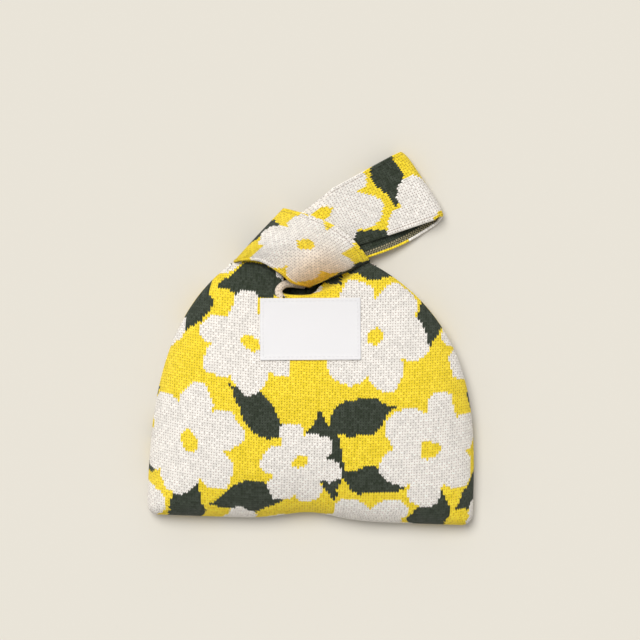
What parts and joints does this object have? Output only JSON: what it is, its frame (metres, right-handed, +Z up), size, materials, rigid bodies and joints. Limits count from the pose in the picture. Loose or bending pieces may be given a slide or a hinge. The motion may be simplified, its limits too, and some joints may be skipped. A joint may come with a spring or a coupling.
{
  "type": "knitted knot bag",
  "caption": "Small knitted knot bag lying on its back: domed body, short handle wrapped round the long one, open wrist loop, sewn label.",
  "frame": {"origin": "on the table, under the middle of the bag's bounding box", "axes": "+Z up, out of the bag's front; +Y from the bottom seam towards the handles; +X to the right seen from the front"},
  "size_m": [0.199, 0.2272, 0.0362],
  "materials": {
    "floral_knit": "double-faced jacquard knit in yellow, off-white and dark green",
    "seam_yarn": "turned-in knit seam, dark green",
    "satin_label": "woven satin, off-white",
    "label_thread": "fine white sewing thread"
  },
  "bodies": {
    "bag": {"front_panel": "floral_knit", "back_panel": "floral_knit", "left_side_seam": "seam_yarn", "right_side_seam": "seam_yarn", "bottom_seam": "seam_yarn", "long_handle_neck_front": "floral_knit", "long_handle_neck_back": "floral_knit", "short_handle": "floral_knit", "short_handle_seam": "seam_yarn", "label": "satin_label", "label_stitching": "label_thread"},
    "wrist_loop": {"wrist_loop_upper": "floral_knit", "wrist_loop_lower": "floral_knit", "wrist_loop_seam": "seam_yarn"}
  },
  "joints": [
    {"name": "wrist_loop_lift", "type": "hinge", "parent": "bag", "child": "wrist_loop", "pos_m": [0.0187, 0.0689, 0.0125], "axis": [0.5075, -0.8616, 0], "range_deg": [0, 100]}
  ]
}
